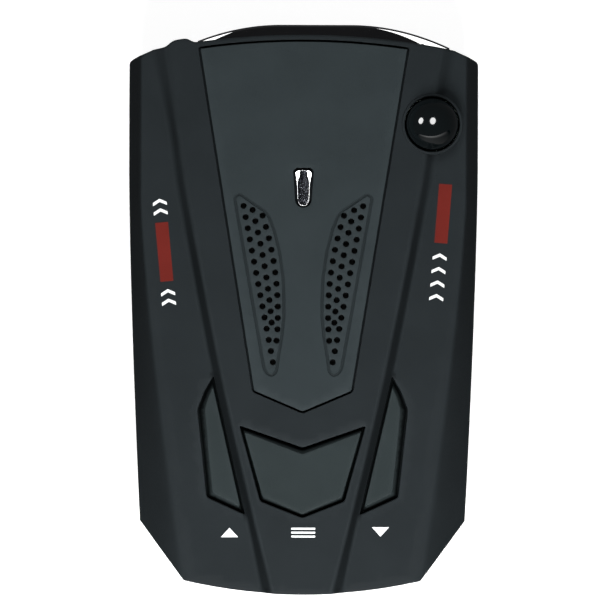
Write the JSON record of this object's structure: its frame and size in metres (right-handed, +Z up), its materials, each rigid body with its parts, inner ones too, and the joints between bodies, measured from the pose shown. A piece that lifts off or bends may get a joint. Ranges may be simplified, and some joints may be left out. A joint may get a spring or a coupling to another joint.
{
  "type": "radar detector",
  "caption": "Dashboard radar detector with a stepped tapering housing, perforated speaker panel, laser dome, glossy front window, display window and spring-return keys.",
  "frame": {"origin": "middle of the housing's plan, on the plane of the underside of the non-slip pad", "axes": "+Y towards the windscreen, along the housing; +X to the driver's right when facing the windscreen; +Z up"},
  "size_m": [0.07, 0.1137, 0.03],
  "materials": {
    "housing_plastic": "fine matte texture",
    "panel_plastic": "fine matte texture",
    "key_plastic": "satin",
    "smoked_gloss": "high gloss",
    "dome_gloss": "high gloss",
    "chrome_trim": "polished, grained inside the rim",
    "grille_cloth": "woven",
    "pad_rubber": "ribbed",
    "rubber_trim": "matte",
    "red_insulation": "matte",
    "circuit_board": "satin solder mask",
    "chip_plastic": "matte",
    "switch_red": "satin",
    "steel": "satin",
    "capacitor_can": "satin",
    "brass_pin": "polished",
    "clear_resin": "clear",
    "cone_paper": "pressed paper"
  },
  "bodies": {
    "housing": {"top_cover": "housing_plastic", "bottom_cover": "housing_plastic", "center_panel": "panel_plastic", "front_window": "smoked_gloss", "display_window": "smoked_gloss", "dome_lens": "dome_gloss", "accent_bezel": "chrome_trim", "accent_insert": "chrome_trim", "grille_cloth_left": "grille_cloth", "grille_cloth_right": "grille_cloth", "non_slip_pad": "pad_rubber", "speaker_gasket": "rubber_trim", "speaker_lead_a": "rubber_trim", "speaker_lead_b": "red_insulation", "main_board": "circuit_board", "microcontroller": "chip_plastic", "voice_chip": "chip_plastic", "amplifier_chip": "chip_plastic", "voltage_regulator": "chip_plastic", "speaker_connector": "chip_plastic", "dc_jack": "chip_plastic", "lens_holder": "chip_plastic", "dome_sensor_post": "chip_plastic", "up_switch": "chip_plastic", "menu_switch": "chip_plastic", "down_switch": "chip_plastic", "led_display": "switch_red", "cover_screw_1": "steel", "cover_screw_2": "steel", "cover_screw_3": "steel", "cover_screw_4": "steel", "board_screw_1": "steel", "board_screw_2": "steel", "board_screw_3": "steel", "board_screw_4": "steel", "mixer_shield": "steel", "crystal": "steel", "speaker_frame": "steel", "speaker_magnet": "steel", "horn_antenna": "steel", "input_capacitor": "capacitor_can", "filter_capacitor": "capacitor_can", "dc_jack_pin": "brass_pin", "laser_lens": "clear_resin", "laser_photodiode": "clear_resin", "dome_photodiode": "clear_resin", "speaker_cone": "cone_paper"},
    "up_button": {"up_key": "key_plastic", "up_plunger": "switch_red"},
    "menu_button": {"menu_key": "key_plastic", "menu_plunger": "switch_red"},
    "down_button": {"down_key": "key_plastic", "down_plunger": "switch_red"}
  },
  "joints": [
    {"name": "up_press", "type": "slide", "parent": "housing", "child": "up_button", "axis": [0, 0, -1], "range_m": [0, 0.0005], "stiffness_N_per_m": 600, "springref_m": -0.001},
    {"name": "menu_press", "type": "slide", "parent": "housing", "child": "menu_button", "axis": [0, 0, -1], "range_m": [0, 0.0005], "stiffness_N_per_m": 600, "springref_m": -0.001},
    {"name": "down_press", "type": "slide", "parent": "housing", "child": "down_button", "axis": [0, 0, -1], "range_m": [0, 0.0005], "stiffness_N_per_m": 600, "springref_m": -0.001}
  ]
}
